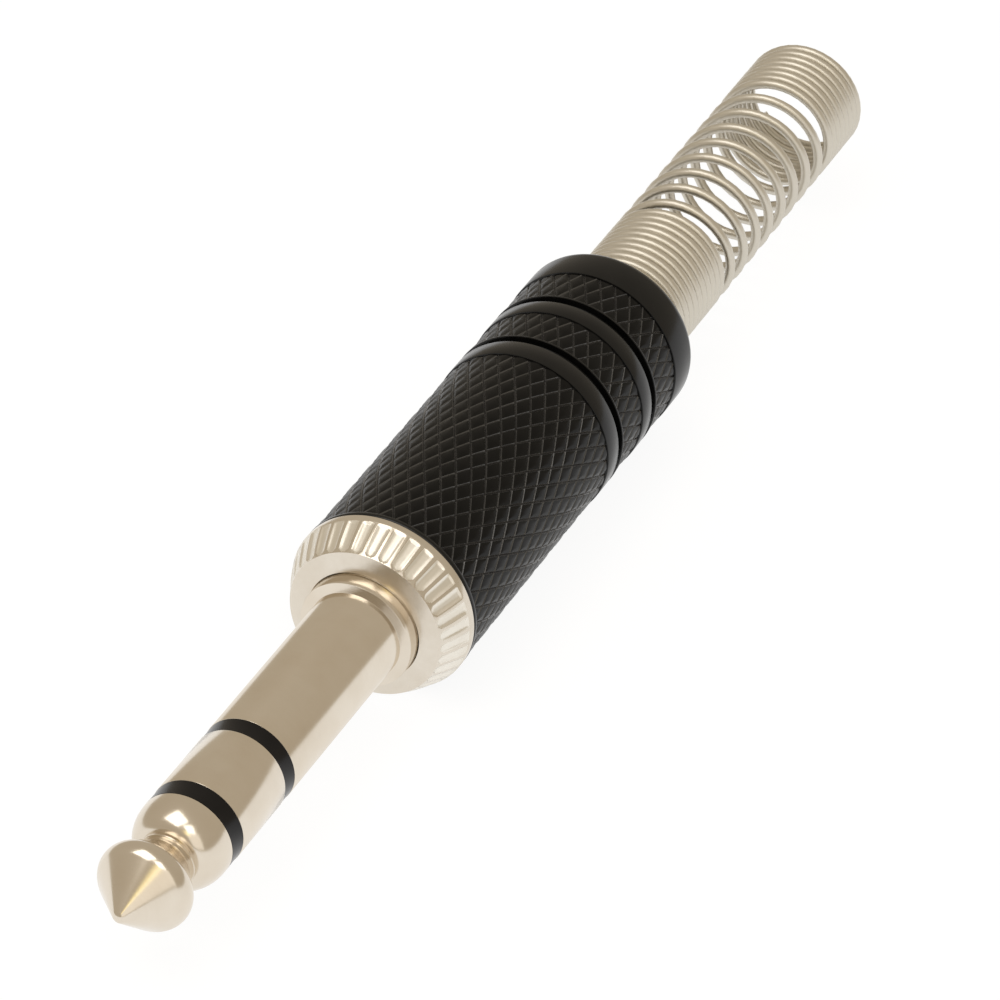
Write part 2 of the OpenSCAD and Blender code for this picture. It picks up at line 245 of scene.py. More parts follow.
@dataclass(frozen=True)
class Finish:
    """A surface finish: its colour, how it varies, and its fine marks."""

    name: str
    colour: Colour
    shade: Colour
    grain: Grain
    roughness: float
    spread: float
    metallic: float = 1.0
    marks: float = 0.25
    patch: float = 350.0
    specular: float = 0.5
    patch_start: float = 0.35
    patch_gain: float = 2.2
    line_gain: float = 0.5
    least_rough: float = 0.03

    def material(self) -> bpy.types.Material:
        """Makes the finish's material, once.

        Returns:
            The material.
        """
        if self.name in bpy.data.materials:
            return bpy.data.materials[self.name]
        made = bpy.data.materials.new(self.name)
        made.use_nodes = True
        recipe = Recipe(made.node_tree, "ShaderNodeOutputMaterial")
        patches = recipe.noise((self.patch,) * 3)
        lines = recipe.noise(self.grain.value)
        share = ((patches - self.patch_start) * self.patch_gain
                 + (lines - NOISE_MIDDLE) * self.line_gain).clamp(0.0, 1.0)
        rough = (self.roughness + (patches - NOISE_MIDDLE) * self.spread
                 + (lines - NOISE_MIDDLE) * self.spread).clamp(self.least_rough, 1.0)
        shader = recipe.node("ShaderNodeBsdfPrincipled", {}, {
            "Base Color": recipe.blend(share, self.colour, self.shade),
            "Metallic": self.metallic, "Roughness": rough,
            "Specular IOR Level": self.specular,
            "Normal": recipe.relief(lines, self.marks, MARK_DEPTH)})
        recipe.tree.links.new(shader.outputs[0], recipe.output.inputs[0])
        return made


NICKEL = Finish("nickel_turned", (0.76, 0.69, 0.59), (0.71, 0.63, 0.52), Grain.TURNED,
                roughness=0.19, spread=0.08, marks=0.05)
COLLAR_NICKEL = Finish("nickel_collar", (0.75, 0.69, 0.60), (0.69, 0.62, 0.52), Grain.EVEN,
                       roughness=0.22, spread=0.10, marks=0.10)
# The flutes' lighter, whiter nickel is a painted highlight, the key light they catch; their higher
# roughness is the satin cut finish.
FLUTE_SATIN_PAINTED_HIGHLIGHT = Finish("nickel_flute_satin_painted_highlight", (0.90, 0.86, 0.78), (0.84, 0.79, 0.70), Grain.EVEN,
                      roughness=0.38, spread=0.10, marks=0.05)
WIRE = Finish("spring_wire", (0.78, 0.71, 0.57), (0.67, 0.59, 0.44), Grain.BRUSHED,
              roughness=0.17, spread=0.08, marks=0.08)
LUG_PLATE = Finish("lug_plate", (0.72, 0.68, 0.60), (0.62, 0.57, 0.48), Grain.BRUSHED,
                   roughness=0.32, spread=0.12)
BRASS = Finish("brass_rod", (0.72, 0.52, 0.26), (0.58, 0.39, 0.17), Grain.TURNED,
               roughness=0.24, spread=0.10)
RING_PLASTIC = Finish("ring_plastic", (0.004, 0.0035, 0.004), (0.009, 0.008, 0.008),
                      Grain.TURNED, roughness=0.22, spread=0.10, metallic=0.0, marks=0.04,
                      specular=0.20)
TUBE_PLASTIC = Finish("tube_plastic", (0.72, 0.69, 0.60), (0.64, 0.61, 0.52), Grain.TURNED,
                      roughness=0.42, spread=0.10, metallic=0.0)
BOARD = Finish("washer_board", (0.23, 0.115, 0.045), (0.14, 0.065, 0.025), Grain.EVEN,
               roughness=0.55, spread=0.15, metallic=0.0, marks=0.5, patch=1200.0)
LINER_PLASTIC = Finish("liner_plastic", (0.78, 0.78, 0.73), (0.70, 0.70, 0.65), Grain.EVEN,
                       roughness=0.38, spread=0.10, metallic=0.0)
BLACK_COAT = Finish("black_coat", (0.002, 0.002, 0.002), (0.004, 0.0038, 0.0038), Grain.TURNED,
                    roughness=0.30, spread=0.12, metallic=0.0, marks=0.08, patch=900.0,
                    specular=0.14)
BAND_COAT = Finish("band_coat", (0.002, 0.002, 0.002), (0.004, 0.0038, 0.0038), Grain.TURNED,
                   roughness=0.22, spread=0.12, metallic=0.0, marks=0.05, patch=900.0,
                   specular=0.34)
# The knurl's valley walls are lighter grey and glossier than the black coat: a painted sheen that
# stands in for the light the tilted walls reflect.
KNURL_WALL_SHEEN = Finish("knurl_wall_painted_sheen", (0.048, 0.046, 0.044), (0.018, 0.017, 0.017), Grain.EVEN,
                    roughness=0.28, spread=0.16, metallic=0.0, marks=0.15, patch=900.0,
                    specular=0.9)


# Modelling


def activate(piece: bpy.types.Object) -> None:
    """Deselects everything but one piece, and makes it the active one.

    Args:
        piece: the object to leave selected and active.
    """
    bpy.ops.object.select_all(action="DESELECT")
    piece.select_set(True)
    bpy.context.view_layer.objects.active = piece


def primitive(name: str, add: Callable[..., object], **sizes: object) -> bpy.types.Object:
    """Adds a primitive with nothing else selected.

    Args:
        name: the new object's name.
        add: the operator that adds it.
        sizes: the operator's own arguments.

    Returns:
        The new object, its rotation still live.
    """
    bpy.ops.object.select_all(action="DESELECT")
    add(**sizes)
    made = bpy.context.active_object
    made.name = made.data.name = name
    return made


@contextmanager
def editing(piece: bpy.types.Object, mode: str = "VERT") -> Iterator[None]:
    """Opens a piece in edit mode with nothing selected, and closes it again.

    Args:
        piece: the mesh to edit.
        mode: VERT, EDGE or FACE.

    Yields:
        Nothing, while the piece is in edit mode.
    """
    activate(piece)
    bpy.ops.object.mode_set(mode="EDIT")
    bpy.ops.mesh.select_mode(type=mode)
    bpy.ops.mesh.select_all(action="DESELECT")
    yield
    bpy.ops.object.mode_set(mode="OBJECT")


def pick(piece: bpy.types.Object, kind: str, test: Callable[[object], bool]) -> None:
    """Selects what passes a test in a piece that is in edit mode.

    Args:
        piece: the mesh.
        kind: verts, edges or faces.
        test: says of each element whether it is taken.
    """
    bpy.ops.mesh.select_all(action="DESELECT")
    bpy.ops.mesh.select_mode(type={"verts": "VERT", "edges": "EDGE", "faces": "FACE"}[kind])
    mesh = bmesh.from_edit_mesh(piece.data)
    for element in [e for e in getattr(mesh, kind) if test(e)]:
        element.select_set(True)
    mesh.select_flush_mode()
    bmesh.update_edit_mesh(piece.data)


def modify(piece: bpy.types.Object, kind: str, **settings: object) -> None:
    """Adds one modifier and applies it.

    Args:
        piece: the mesh.
        kind: the modifier's type.
        settings: its settings.
    """
    activate(piece)
    modifier = piece.modifiers.new(kind.lower(), kind)
    for name, value in settings.items():
        setattr(modifier, name, value)
    bpy.ops.object.modifier_apply(modifier=modifier.name)


def soften(piece: bpy.types.Object, width: float) -> None:
    """Rounds a piece's sharp edges.

    Args:
        piece: the mesh.
        width: the width of the rounding in millimetres.
    """
    modify(piece, "BEVEL", width=width, segments=BEVEL_FACETS, limit_method="ANGLE",
           angle_limit=math.radians(SHARP_ANGLE), miter_outer="MITER_ARC")


def coat(piece: bpy.types.Object, *finishes: Finish) -> None:
    """Gives a piece its finishes, one material slot each.

    Args:
        piece: the mesh.
        finishes: the finishes, in the order of the slots.
    """
    for finish in finishes:
        piece.data.materials.append(finish.material())


def paint(piece: bpy.types.Object, slot: int) -> None:
    """Puts one of its finishes on the selected faces of a piece in edit mode.

    Args:
        piece: the mesh.
        slot: the number of the finish.
    """
    piece.active_material_index = slot
    bpy.ops.object.material_slot_assign()


def settle(piece: bpy.types.Object, body: Body, nodes: Sequence[str],
           angle: float = SHARP_ANGLE) -> None:
    """Turns a coated piece into a dressed one: metres, shading, body and nodes.

    Args:
        piece: the mesh, in millimetres.
        body: the body it rides on.
        nodes: the CAD nodes it stands for.
        angle: edges sharper than this stay sharp, in degrees.
    """
    piece.scale = (MM, MM, MM)
    piece.location = piece.location * MM
    activate(piece)
    bpy.ops.object.transform_apply(location=True, rotation=True, scale=True)
    bpy.ops.object.shade_smooth_by_angle(angle=math.radians(angle))
    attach(piece, body.value)
    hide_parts(*nodes)
    LOG.info("%s: %d faces on %s", piece.name, len(piece.data.polygons), body.value)


def arc(middle: Point, radius: float, start: float, end: float,
        steps: int = ARC_STEPS) -> Outline:
    """Points of an arc in the plane of an outline.

    Args:
        middle: its centre, as (x, r).
        radius: its radius.
        start: its first angle in degrees, where 0 points along +X and 90 outwards.
        end: its last angle.
        steps: its facets.

    Returns:
        The points.
    """
    angles = [math.radians(start + (end - start) * step / steps) for step in range(steps + 1)]
    return [(middle[0] + radius * math.cos(angle), middle[1] + radius * math.sin(angle))
            for angle in angles]


def turned(name: str, outline: Outline, sides: int = FACETS) -> bpy.types.Object:
    """Turns an outline about the plug's axis: one vertex is extruded along it, then spun.

    Args:
        name: the piece's name.
        outline: points (x, r) in millimetres; a closed one ends where it starts.
        sides: facets round the axis.

    Returns:
        The turned mesh.
    """
    piece = primitive(name, bpy.ops.mesh.primitive_plane_add, size=1.0)
    with editing(piece):
        bpy.ops.mesh.select_all(action="SELECT")
        bpy.ops.mesh.merge(type="CENTER")
        bpy.ops.transform.translate(value=(outline[0][0], 0.0, outline[0][1]))
        for (x0, r0), (x1, r1) in zip(outline, outline[1:]):
            bpy.ops.mesh.extrude_vertices_move(
                TRANSFORM_OT_translate={"value": (x1 - x0, 0.0, r1 - r0)})
        bpy.ops.mesh.select_all(action="SELECT")
        bpy.ops.mesh.spin(steps=sides, angle=2 * math.pi, center=(0, 0, 0), axis=(1, 0, 0))
        bpy.ops.mesh.select_all(action="SELECT")
        bpy.ops.mesh.remove_doubles(threshold=MERGE_GAP)
        bpy.ops.mesh.normals_make_consistent(inside=False)
    return piece


def join(name: str, pieces: Sequence[bpy.types.Object]) -> bpy.types.Object:
    """Joins several meshes into one.

    Args:
        name: the joined piece's name.
        pieces: the meshes.

    Returns:
        The joined piece.
    """
    activate(pieces[0])
    for piece in pieces:
        piece.select_set(True)
    bpy.ops.object.join()
    pieces[0].name = pieces[0].data.name = name
    return pieces[0]


# The plug's sub-assemblies


@dataclass
class Contacts:
    """Tip, ring and sleeve contacts with the insulating rings between them."""

    shaft_r: float = 3.175
    tip_x: float = -31.0
    front_gap_x: float = -22.33
    ring_x: float = -20.99
    rear_gap_x: float = -15.53
    sleeve_x: float = -14.29
    ring_drop: float = 0.02
    nose_r: float = 0.6
    nose_angle: float = 43.6
    ball_r: float = 3.13
    crest_r: float = 1.15
    back_angle: float = 36.0
    neck_r: float = 1.85
    neck_fillet: float = 0.7
    bell_len: float = 2.2
    tip_rim: float = 0.3
    boss_r: float = 3.9
    boss_len: float = 1.13
    tail_r: float = 3.0
    tail_bore: float = 2.25
    tail_rivet: tuple[Point, ...] = ((11.5, 3.4), (12.0, 3.2))
    ring_bore: float = 1.37
    ring_tail_r: float = 1.85
    ring_rivet: tuple[Point, ...] = ((14.4, 2.2), (14.9, 2.05))
    front_bore: float = 1.02
    rear_bore: float = 1.87
    waist_drop: float = 0.02
    waist_lead: float = 0.25
    tip_edge: float = 0.05
    ring_edge: float = 0.06
    sleeve_edge: float = 0.04
    tip_angle: float = 20.0

    def tip_outline(self) -> Outline:
        """The conical nose, the ball's crest, the neck and the bell behind it.

        Returns:
            The outline from the axis at the nose to the axis at the back.
        """
        nose, back = math.radians(self.nose_angle), math.radians(self.back_angle)
        middle_r = self.ball_r - self.crest_r
        cone = ((middle_r + self.crest_r * math.cos(nose) - self.nose_r * math.cos(nose))
                / math.tan(nose))
        crest_x = (self.tip_x + self.nose_r * (1 - math.sin(nose)) + cone
                   + self.crest_r * math.sin(nose))
        fillet_r = self.neck_r + self.neck_fillet
        slope = ((middle_r + self.crest_r * math.cos(back))
                 - (fillet_r - self.neck_fillet * math.cos(back))) / math.tan(back)
        fillet_x = crest_x + (self.crest_r + self.neck_fillet) * math.sin(back) + slope
        outer = self.shaft_r - self.ring_drop
        bell_x = self.front_gap_x - self.tip_rim
        bell = [(bell_x + self.bell_len * x, self.neck_r + (outer - self.neck_r) * r)
                for x, r in arc((0.0, 0.0), 1.0, 180, 90, FINE_STEPS)]
        return (arc((self.tip_x + self.nose_r, 0.0), self.nose_r, 180, 90 + self.nose_angle)
                + arc((crest_x, middle_r), self.crest_r, 90 + self.nose_angle,
                      90 - self.back_angle, FINE_STEPS)
                + arc((fillet_x, fillet_r), self.neck_fillet, 270 - self.back_angle, 270)
                + bell + [(self.front_gap_x, outer), (self.front_gap_x, 0.0)])

    def build(self) -> None:
        """Builds and dresses the contacts and their rings."""
        tip = turned("tip_contact", self.tip_outline())
        soften(tip, self.tip_edge)
        coat(tip, NICKEL)
        settle(tip, Body.PLUG, ["tip_head"], self.tip_angle)
        ring = turned("ring_contact_turned", [
            (self.ring_x, self.ring_bore), (self.ring_x, self.shaft_r),
            (self.rear_gap_x, self.shaft_r), (self.rear_gap_x, self.ring_tail_r),
            (self.ring_rivet[0][0], self.ring_tail_r), *self.ring_rivet,
            (self.ring_rivet[-1][0], self.ring_bore), (self.ring_x, self.ring_bore)])
        soften(ring, self.ring_edge)
        coat(ring, NICKEL)
        settle(ring, Body.PLUG, ["ring_contact"])
        sleeve = turned("sleeve_turned", [
            (self.sleeve_x, self.tail_bore), (self.sleeve_x, self.shaft_r), (0.0, self.shaft_r),
            (0.0, self.boss_r), (self.boss_len, self.boss_r), (self.boss_len, self.tail_r),
            (self.tail_rivet[0][0], self.tail_r), *self.tail_rivet,
            (self.tail_rivet[-1][0], self.tail_bore), (self.sleeve_x, self.tail_bore)])
        soften(sleeve, self.sleeve_edge)
        coat(sleeve, NICKEL)
        settle(sleeve, Body.PLUG, ["sleeve"])
        self.insulator("front_ring_plastic", "front_insulator", self.front_gap_x, self.ring_x,
                       self.front_bore)
        self.insulator("rear_ring_plastic", "rear_insulator", self.rear_gap_x, self.sleeve_x,
                       self.rear_bore)

    def insulator(self, name: str, node: str, start: float, end: float, bore: float) -> None:
        """Builds and dresses one insulating ring, a little waisted between its ends.

        Args:
            name: the piece's name.
            node: the CAD node it stands for.
            start: where it begins along X.
            end: where it ends.
            bore: the radius of its bore.
        """
        low = self.shaft_r - self.ring_drop
        waist = low - self.waist_drop
        ring = turned(name, [(start, bore), (start, low), (start + self.waist_lead, waist),
                             (end - self.waist_lead, waist), (end, low), (end, bore),
                             (start, bore)])
        coat(ring, RING_PLASTIC)
        settle(ring, Body.PLUG, [node])


@dataclass
class Collar:
    """The collar with its sloping face, fluted chamfer and threaded spigot."""

    boss_r: float = 3.9
    boss_len: float = 1.13
    face_x: float = 1.32
    face_r: float = 5.35
    rim_x: float = 3.64
    back_x: float = 4.14
    grip_r: float = 6.4
    spigot_r: float = 5.2
    thread_root: float = 4.82
    spigot_end: float = 11.0
    bore: float = 3.02
    flutes: int = 36
    columns: int = 12
    half_width: int = 4
    rows: tuple[float, ...] = (0.02, 0.05, 0.08, 0.12, 0.25, 0.4, 0.55, 0.7, 0.82, 0.9, 0.93, 0.96)
    sinks: tuple[Point, ...] = ((3.6, 0.60), (2.6, 0.28), (1.6, 0.12))
    bulge: float = 0.05
    flute_depth: float = 0.08
    round_rows: int = 3
    column_reach: float = 0.4
    row_reach: float = 0.005
    chamfer_play: float = 0.02
    seam: tuple[Point, ...] = ((0.0, -0.1), (0.15, 0.0), (0.0, 0.07))
    face_lead: Point = (0.05, 0.25)
    rim_lead: float = 0.05
    back_edge: float = 0.04
    spigot_chamfer: float = 0.5
    thread_pitch: float = 0.75
    thread_half: float = 0.47
    thread_lead: float = 0.75
    thread_stop: float = 0.8
    thread_sunk: float = 0.1
    thread_play: float = 0.02
    thread_steps: int = 48
    angle: float = 40.0

    def swell(self, place: float) -> float:
        """How far the chamfer bulges over a straight cone.

        Args:
            place: the place along the chamfer, from 0 at the face to 1 at the rim.

        Returns:
            The bulge in millimetres.
        """
        return (self.grip_r - self.face_r) * self.bulge * 4 * place * (1 - place)

    def column(self, point: Vector) -> float:
        """The place of a point in its flute's pitch, in columns from the flute's middle."""
        turn = math.atan2(point.z, point.y) / (2 * math.pi) % 1.0
        return turn * self.flutes * self.columns % self.columns - self.half_width - 0.5

    def in_flute(self, face: bmesh.types.BMFace) -> bool:
        """Says whether a face of the chamfer lies in a flute, which is round at its start.

        Args:
            face: the face.

        Returns:
            Whether it lies in a flute.
        """
        middle = face.calc_center_median()
        place = (middle.x - self.face_x) / (self.rim_x - self.face_x)
        if middle.yz.length < self.boss_r or not self.rows[0] < place < self.rows[-1]:
            return False
        half = min(self.half_width,
                   1 + sum(place > row for row in self.rows[1:self.round_rows + 1]))
        return abs(self.column(middle)) < half + self.column_reach

    def flute(self, collar: bpy.types.Object) -> None:
        """Sinks the flutes into the bulging chamfer down to straight floors, row by row, and gives
        their faces the lighter finish, which is a painted highlight.

        Args:
            collar: the turned collar.
        """
        with editing(collar):
            for row, place in enumerate(self.rows[1:-1]):
                x = self.face_x + (self.rim_x - self.face_x) * place
                for reach, share in self.sinks:
                    width = reach - max(0, self.round_rows - 1 - row)
                    pick(collar, "verts", lambda vertex: abs(vertex.co.x - x) < self.row_reach
                         and vertex.co.yz.length > self.boss_r
                         and abs(self.column(vertex.co)) < width)
                    depth = (self.swell(place) + self.flute_depth) * share
                    scale = 1 - depth / self.grip_r
                    bpy.ops.transform.resize(value=(1.0, scale, scale), center_override=(0, 0, 0))
        with editing(collar, "FACE"):
            pick(collar, "faces", self.in_flute)
            # The flute faces get the lighter finish: a painted highlight.
            paint(collar, SECOND_FINISH)

    def thread(self) -> bpy.types.Object:
        """A V ridge wound round the spigot.

        Returns:
            The ridge.
        """
        start = self.back_x + self.thread_lead
        half = self.thread_pitch * self.thread_half
        foot_r = self.thread_root - self.thread_sunk
        ridge = primitive("collar_thread", bpy.ops.mesh.primitive_circle_add, vertices=3,
                          radius=1.0, fill_type="NOTHING", rotation=(math.pi / 2, 0.0, 0.0))
        activate(ridge)
        bpy.ops.object.transform_apply(location=True, rotation=True, scale=True)
        corners = [(start - half, foot_r), (start, self.spigot_r - self.thread_play),
                   (start + half, foot_r)]
        for vertex, (x, r) in zip(ridge.data.vertices, corners):
            vertex.co = (x, 0.0, r)
        turns = (self.spigot_end - start - self.thread_stop) / self.thread_pitch
        steps = int(self.thread_steps * turns)
        modify(ridge, "SCREW", axis="X", angle=2 * math.pi * turns, steps=steps,
               render_steps=steps, screw_offset=self.thread_pitch * turns)
        with editing(ridge, "EDGE"):
            pick(ridge, "edges", lambda edge: edge.is_boundary)
            bpy.ops.mesh.fill()
            bpy.ops.mesh.select_all(action="SELECT")
            bpy.ops.mesh.normals_make_consistent(inside=False)
        return ridge

    def build(self) -> None:
        """Builds and dresses the collar."""
        lip, root = self.spigot_chamfer, self.thread_root
        rise = self.grip_r - self.chamfer_play - self.face_r
        chamfer = [(self.face_x + (self.rim_x - self.face_x) * row,
                    self.face_r + rise * row + self.swell(row))
                   for row in (0.0, *self.rows, 1.0)]
        seam = [(self.boss_len + x, self.boss_r + r) for x, r in self.seam]
        collar = turned("collar_fluted", [
            (self.boss_len, self.bore), *seam,
            (self.face_x - self.face_lead[0], self.face_r - self.face_lead[1]), *chamfer,
            (self.rim_x + self.rim_lead, self.grip_r),
            (self.back_x - self.back_edge, self.grip_r),
            (self.back_x, self.grip_r - self.back_edge), (self.back_x, root),
            (self.spigot_end - lip, root), (self.spigot_end, root - lip),
            (self.spigot_end, self.bore), (self.boss_len, self.bore)],
            self.flutes * self.columns)
        coat(collar, COLLAR_NICKEL, FLUTE_SATIN_PAINTED_HIGHLIGHT)
        self.flute(collar)
        whole = join("collar_fluted", [collar, self.thread()])
        settle(whole, Body.PLUG, ["collar"], self.angle)


@dataclass
class Barrel:
    """The barrel: a turned sleeve with plain bands and grooves, and its rolled knurl."""

    front_x: float = 4.14
    lip_x: float = 4.54
    band_1: float = 24.4
    groove_1: float = 26.0
    knurl_2: float = 26.8
    band_2: float = 29.9
    groove_2: float = 31.3
    knurl_3: float = 32.1
    band_3: float = 35.2
    end_x: float = 38.3
    grip_r: float = 6.4
    groove_r: float = 5.9
    groove_wall: float = 0.16
    end_round: float = 0.8
    bore: float = 5.25
    pocket_x: float = 33.2
    pocket_r: float = 5.0
    exit_r: float = 4.64
    knurl_count: int = 34
    knurl_rows: int = 14
    knurl_floor: float = 6.17
    wall: float = 0.075
    height: float = 0.12
    crown_inset: float = 0.24
    crown: float = 0.05
    front_chamfer: float = 0.12
    exit_chamfer: float = 0.2
    exit_len: float = 1.6
    edge: float = 0.06
    overlap: float = 0.1
    end_shrink: float = 0.93
    end_facets: int = 8
    least_row: float = 0.1
    grid_play: float = 0.01
    end_play: float = 0.02
    angle: float = 25.0

    def sleeve(self) -> bpy.types.Object:
        """The turned sleeve with its bands, grooves, bores and rounded end.

        Returns:
            The sleeve.
        """
        grip, floor, exit_x = self.grip_r, self.groove_r, self.end_x - self.exit_len
        outline = [(self.front_x, self.bore), (self.front_x, grip - self.front_chamfer),
                   (self.front_x + self.front_chamfer, grip), (self.lip_x, grip),
                   (self.lip_x, floor)]
        for band, groove, knurl in ((self.band_1, self.groove_1, self.knurl_2),
                                    (self.band_2, self.groove_2, self.knurl_3)):
            outline += [(band, floor), (band, grip), (groove, grip), (groove, floor),
                        (knurl - self.groove_wall, floor), (knurl - self.groove_wall, grip),
                        (knurl, grip), (knurl, floor)]
        outline += [(self.band_3, floor), (self.band_3, grip)]
        outline += arc((self.end_x - self.end_round, grip - self.end_round), self.end_round,
                       90, 0, self.end_facets)
        outline += [(self.end_x, self.exit_r + self.exit_chamfer),
                    (self.end_x - self.exit_chamfer, self.exit_r), (exit_x, self.exit_r),
                    (exit_x, self.pocket_r), (self.pocket_x, self.pocket_r),
                    (self.pocket_x, self.bore), (self.front_x, self.bore)]
        body = turned("barrel_sleeve", outline)
        soften(body, self.edge)
        return body

    def knurl_blank(self) -> bpy.types.Object:
        """A tube whose faces are the knurl's diamonds: a grid of faces is poked, and the
        grid's own edges are dissolved.

        The tube's own Z axis lies along the plug's X until its turn is applied at the end.

        Returns:
            The tube.
        """
        length = self.band_3 - self.lip_x + 2 * self.overlap
        tube = primitive("barrel_knurl", bpy.ops.mesh.primitive_cylinder_add,
                         vertices=self.knurl_count, radius=self.knurl_floor, depth=length,
                         end_fill_type="NOTHING", rotation=(0.0, math.pi / 2, 0.0),
                         location=((self.lip_x + self.band_3) / 2, 0.0, 0.0))
        with editing(tube, "EDGE"):
            pick(tube, "edges", lambda edge:
                 abs(edge.verts[0].co.z - edge.verts[1].co.z) > self.least_row)
            bpy.ops.mesh.subdivide(number_cuts=self.knurl_rows - 1)
            bpy.ops.mesh.select_all(action="SELECT")
            bpy.ops.mesh.poke()
        modify(tube, "CAST", cast_type="CYLINDER", factor=1.0, use_z=False,
               size=self.knurl_floor, use_radius_as_size=False)

        def on_grid(edge: bmesh.types.BMEdge) -> bool:
            """Says whether an edge belongs to the grid and not to a diamond.

            Args:
                edge: the edge.

            Returns:
                Whether it belongs to the grid.
            """
            first, second = edge.verts[0].co, edge.verts[1].co
            across = abs(first.z - second.z) < self.grid_play
            along = (first.xy - second.xy).length < self.grid_play
            return (across or along) and not edge.is_boundary

        with editing(tube, "EDGE"):
            pick(tube, "edges", on_grid)
            bpy.ops.mesh.dissolve_edges(use_verts=False)
        activate(tube)
        bpy.ops.object.transform_apply(location=True, rotation=True, scale=True)
        return tube

    def knurl(self) -> bpy.types.Object:
        """Raises the diamonds out of their valleys, whose walls get a lighter finish as a painted
        sheen, cuts the knurl at the bands and closes its ends towards the axis.

        Returns:
            The knurl's three stretches as one mesh.
        """
        tube = self.knurl_blank()
        coat(tube, BLACK_COAT, KNURL_WALL_SHEEN)
        with editing(tube, "FACE"):
            bpy.ops.mesh.select_all(action="SELECT")
            bpy.ops.mesh.normals_make_consistent(inside=False)
            # The valley walls keep the lighter second finish, a painted sheen; the diamonds'
            # crowns get the black coat.
            paint(tube, SECOND_FINISH)
            bpy.ops.mesh.inset(thickness=self.wall, depth=self.height, use_individual=True)
            paint(tube, FIRST_FINISH)
            bpy.ops.mesh.inset(thickness=self.crown_inset, depth=self.crown,
                               use_individual=True)
        gaps = ((self.band_1 + self.overlap, self.knurl_2),
                (self.band_2 + self.overlap, self.knurl_3))
        for start, end in gaps:
            with editing(tube, "FACE"):
                for cut in (start, end):
                    bpy.ops.mesh.select_all(action="SELECT")
                    bpy.ops.mesh.bisect(plane_co=(cut, 0, 0), plane_no=(1, 0, 0))
                pick(tube, "faces", lambda face: start < face.calc_center_median().x < end)
                bpy.ops.mesh.delete(type="FACE")
        ends = (self.lip_x - self.overlap, *gaps[0], *gaps[1], self.band_3 + self.overlap)
        for place in ends:
            with editing(tube, "EDGE"):
                pick(tube, "edges", lambda edge: edge.is_boundary and all(
                    abs(vertex.co.x - place) < self.end_play for vertex in edge.verts))
                bpy.ops.mesh.extrude_region_move(TRANSFORM_OT_translate={"value": (0, 0, 0)})
                bpy.ops.transform.resize(value=(1.0, self.end_shrink, self.end_shrink),
                                         center_override=(place, 0.0, 0.0))
        for first, last in zip(ends[::2], ends[1::2]):
            with editing(tube, "EDGE"):
                pick(tube, "edges", lambda edge: edge.is_boundary and all(
                    first - self.end_play < vertex.co.x < last + self.end_play
                    for vertex in edge.verts))
                bpy.ops.mesh.bridge_edge_loops()
        with editing(tube, "FACE"):
            bpy.ops.mesh.select_all(action="SELECT")
            bpy.ops.mesh.normals_make_consistent(inside=False)
        return tube

    def build(self) -> None:
        """Builds and dresses the barrel."""
        sleeve = self.sleeve()
        coat(sleeve, BAND_COAT)
        whole = join("barrel_knurled", [sleeve, self.knurl()])
        settle(whole, Body.BARREL, ["barrel"], self.angle)


@dataclass
class Spring:
    """The spring that relieves the cable: closed, open and closed turns of round wire."""

    start_x: float = 33.55
    wire_d: float = 0.7
    coil_r: float = 4.11
    wide_extra: float = 0.42
    wide_turns: float = 2.5
    front_turns: float = 16.0
    open_turns: float = 9.0
    rear_turns: float = 7.4
    closed_pitch: float = 0.745
    open_pitch: float = 2.22
    ramp: float = 0.5
    steps: int = 40
    wide_ramp: float = 0.5
    wire_play: float = 0.005
    wire_rounding: int = 4
    angle: float = 50.0

    @staticmethod
    def ease(share: float) -> float:
        """A smooth step from 0 to 1."""
        held = min(max(share, 0.0), 1.0)
        return held * held * (3 - 2 * held)

    def pitch(self, turn: float) -> float:
        """The pitch at a turn, open between its two ramps.

        Args:
            turn: the turn, counted from the spring's front end.

        Returns:
            The pitch in millimetres.
        """
        closed = self.wide_turns + self.front_turns
        opened = (self.ease((turn - closed) / self.ramp)
                  * self.ease((closed + self.open_turns - turn) / self.ramp))
        return self.closed_pitch + (self.open_pitch - self.closed_pitch) * opened

    def line(self) -> list[Vector]:
        """The middle of the wire.

        Returns:
            Points along it in millimetres.
        """
        turns = self.wide_turns + self.front_turns + self.open_turns + self.rear_turns
        points, x = [], self.start_x + self.wire_d / 2
        for step in range(round(turns * self.steps) + 1):
            turn = step / self.steps
            wide = self.ease(self.wide_turns + self.wide_ramp - turn)
            radius = self.coil_r + self.wide_extra * wide
            angle = 2 * math.pi * turn
            points.append(Vector((x, radius * math.cos(angle), radius * math.sin(angle))))
            x += self.pitch((step + 0.5) / self.steps) / self.steps
        return points

    def build(self) -> None:
        """Builds and dresses the spring: a curve with a round section, made a mesh."""
        points = self.line()
        curve = bpy.data.curves.new("spring_coil", "CURVE")
        curve.dimensions, curve.use_fill_caps = "3D", True
        curve.bevel_depth = self.wire_d / 2 - self.wire_play
        curve.bevel_resolution = self.wire_rounding
        spline = curve.splines.new("POLY")
        spline.points.add(len(points) - 1)
        for place, point in zip(spline.points, points):
            place.co = (*point, 1.0)
        coil = bpy.data.objects.new("spring_coil", curve)
        bpy.context.collection.objects.link(coil)
        activate(coil)
        bpy.ops.object.convert(target="MESH")
        coat(bpy.context.active_object, WIRE)
        settle(bpy.context.active_object, Body.SPRING, ["spring"], self.angle)


